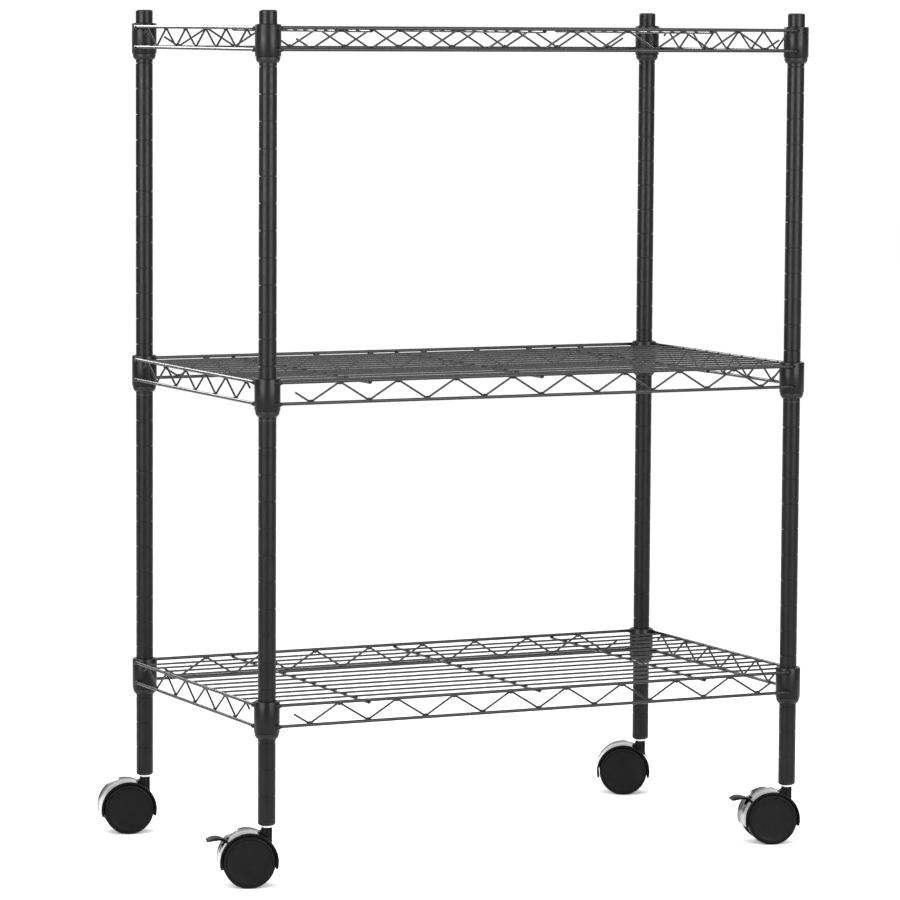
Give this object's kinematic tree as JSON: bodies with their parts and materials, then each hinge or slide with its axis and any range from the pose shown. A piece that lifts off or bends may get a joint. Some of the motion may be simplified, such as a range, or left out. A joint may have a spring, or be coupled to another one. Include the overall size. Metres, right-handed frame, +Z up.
{
  "type": "wire shelf cart",
  "caption": "Rolling wire shelf cart: grooved round posts, tiered wire shelves with zigzag trusses, collars on wedge clips, hooded twin-wheel swivel casters, brake levers on the front ones.",
  "frame": {"origin": "on the floor under the middle of the four posts", "axes": "+Z up, +X along the shelves' long side, -Y towards the cart's front, where the casters have brakes"},
  "size_m": [0.64, 0.3696, 0.8241],
  "materials": {
    "black_coated_steel": "satin black epoxy coating",
    "black_plastic": "fine matte moulding",
    "gloss_black_plastic": "glossy moulding",
    "wheel_nylon": "satin nylon",
    "zinc_steel": "bright zinc plate"
  },
  "bodies": {
    "frame": {"front_left_post_upper": "black_coated_steel", "front_left_post_lower": "black_coated_steel", "front_right_post_upper": "black_coated_steel", "front_right_post_lower": "black_coated_steel", "rear_left_post_upper": "black_coated_steel", "rear_left_post_lower": "black_coated_steel", "rear_right_post_upper": "black_coated_steel", "rear_right_post_lower": "black_coated_steel", "post_joint_inserts": "zinc_steel", "post_joint_studs": "zinc_steel", "post_caps": "black_plastic", "foot_inserts": "black_plastic", "top_shelf_rim_wires": "black_coated_steel", "top_shelf_truss_wires": "black_coated_steel", "top_shelf_cross_wires": "black_coated_steel", "top_shelf_deck_wires": "black_coated_steel", "top_shelf_collars": "black_coated_steel", "top_shelf_clips": "black_plastic", "middle_shelf_rim_wires": "black_coated_steel", "middle_shelf_truss_wires": "black_coated_steel", "middle_shelf_cross_wires": "black_coated_steel", "middle_shelf_deck_wires": "black_coated_steel", "middle_shelf_collars": "black_coated_steel", "middle_shelf_clips": "black_plastic", "bottom_shelf_rim_wires": "black_coated_steel", "bottom_shelf_truss_wires": "black_coated_steel", "bottom_shelf_cross_wires": "black_coated_steel", "bottom_shelf_deck_wires": "black_coated_steel", "bottom_shelf_collars": "black_coated_steel", "bottom_shelf_clips": "black_plastic", "front_left_caster_stem": "zinc_steel", "front_right_caster_stem": "zinc_steel", "rear_left_caster_stem": "zinc_steel", "rear_right_caster_stem": "zinc_steel"},
    "front_left_caster": {"front_left_caster_hood": "gloss_black_plastic", "front_left_caster_axle": "zinc_steel", "front_left_brake_pin": "zinc_steel"},
    "front_left_wheel_front": {"front_left_wheel_front": "wheel_nylon"},
    "front_left_wheel_back": {"front_left_wheel_back": "wheel_nylon"},
    "front_left_brake_lever": {"front_left_brake_lever": "black_plastic"},
    "front_right_caster": {"front_right_caster_hood": "gloss_black_plastic", "front_right_caster_axle": "zinc_steel", "front_right_brake_pin": "zinc_steel"},
    "front_right_wheel_front": {"front_right_wheel_front": "wheel_nylon"},
    "front_right_wheel_back": {"front_right_wheel_back": "wheel_nylon"},
    "front_right_brake_lever": {"front_right_brake_lever": "black_plastic"},
    "rear_left_caster": {"rear_left_caster_hood": "gloss_black_plastic", "rear_left_caster_axle": "zinc_steel"},
    "rear_left_wheel_front": {"rear_left_wheel_front": "wheel_nylon"},
    "rear_left_wheel_back": {"rear_left_wheel_back": "wheel_nylon"},
    "rear_right_caster": {"rear_right_caster_hood": "gloss_black_plastic", "rear_right_caster_axle": "zinc_steel"},
    "rear_right_wheel_front": {"rear_right_wheel_front": "wheel_nylon"},
    "rear_right_wheel_back": {"rear_right_wheel_back": "wheel_nylon"}
  },
  "joints": [
    {"name": "front_left_swivel", "type": "hinge", "parent": "frame", "child": "front_left_caster", "pos_m": [-0.28225, -0.15575, 0.04], "axis": [0, 0, 1], "continuous": true},
    {"name": "front_left_wheel_front_spin", "type": "hinge", "parent": "front_left_caster", "child": "front_left_wheel_front", "pos_m": [-0.29946, -0.15049, 0.025], "axis": [0.2924, 0.9563, 0], "continuous": true},
    {"name": "front_left_wheel_back_spin", "type": "hinge", "parent": "front_left_caster", "child": "front_left_wheel_back", "pos_m": [-0.29946, -0.15049, 0.025], "axis": [0.2924, 0.9563, 0], "continuous": true},
    {"name": "front_left_brake", "type": "hinge", "parent": "front_left_caster", "child": "front_left_brake_lever", "pos_m": [-0.31285, -0.14639, 0.04], "axis": [-0.2924, -0.9563, 0], "range_deg": [0, 18]},
    {"name": "front_right_swivel", "type": "hinge", "parent": "frame", "child": "front_right_caster", "pos_m": [0.28225, -0.15575, 0.04], "axis": [0, 0, 1], "continuous": true},
    {"name": "front_right_wheel_front_spin", "type": "hinge", "parent": "front_right_caster", "child": "front_right_wheel_front", "pos_m": [0.26491, -0.15094, 0.025], "axis": [0.2672, 0.9636, 0], "continuous": true},
    {"name": "front_right_wheel_back_spin", "type": "hinge", "parent": "front_right_caster", "child": "front_right_wheel_back", "pos_m": [0.26491, -0.15094, 0.025], "axis": [0.2672, 0.9636, 0], "continuous": true},
    {"name": "front_right_brake", "type": "hinge", "parent": "front_right_caster", "child": "front_right_brake_lever", "pos_m": [0.25141, -0.1472, 0.04], "axis": [-0.2672, -0.9636, 0], "range_deg": [0, 18]},
    {"name": "rear_left_swivel", "type": "hinge", "parent": "frame", "child": "rear_left_caster", "pos_m": [-0.28225, 0.15575, 0.04], "axis": [0, 0, 1], "continuous": true},
    {"name": "rear_left_wheel_front_spin", "type": "hinge", "parent": "rear_left_caster", "child": "rear_left_wheel_front", "pos_m": [-0.29972, 0.1601, 0.025], "axis": [0.2419, 0.9703, 0], "continuous": true},
    {"name": "rear_left_wheel_back_spin", "type": "hinge", "parent": "rear_left_caster", "child": "rear_left_wheel_back", "pos_m": [-0.29972, 0.1601, 0.025], "axis": [0.2419, 0.9703, 0], "continuous": true},
    {"name": "rear_right_swivel", "type": "hinge", "parent": "frame", "child": "rear_right_caster", "pos_m": [0.28225, 0.15575, 0.04], "axis": [0, 0, 1], "continuous": true},
    {"name": "rear_right_wheel_front_spin", "type": "hinge", "parent": "rear_right_caster", "child": "rear_right_wheel_front", "pos_m": [0.26621, 0.16392, 0.025], "axis": [0.454, 0.891, 0], "continuous": true},
    {"name": "rear_right_wheel_back_spin", "type": "hinge", "parent": "rear_right_caster", "child": "rear_right_wheel_back", "pos_m": [0.26621, 0.16392, 0.025], "axis": [0.454, 0.891, 0], "continuous": true}
  ]
}
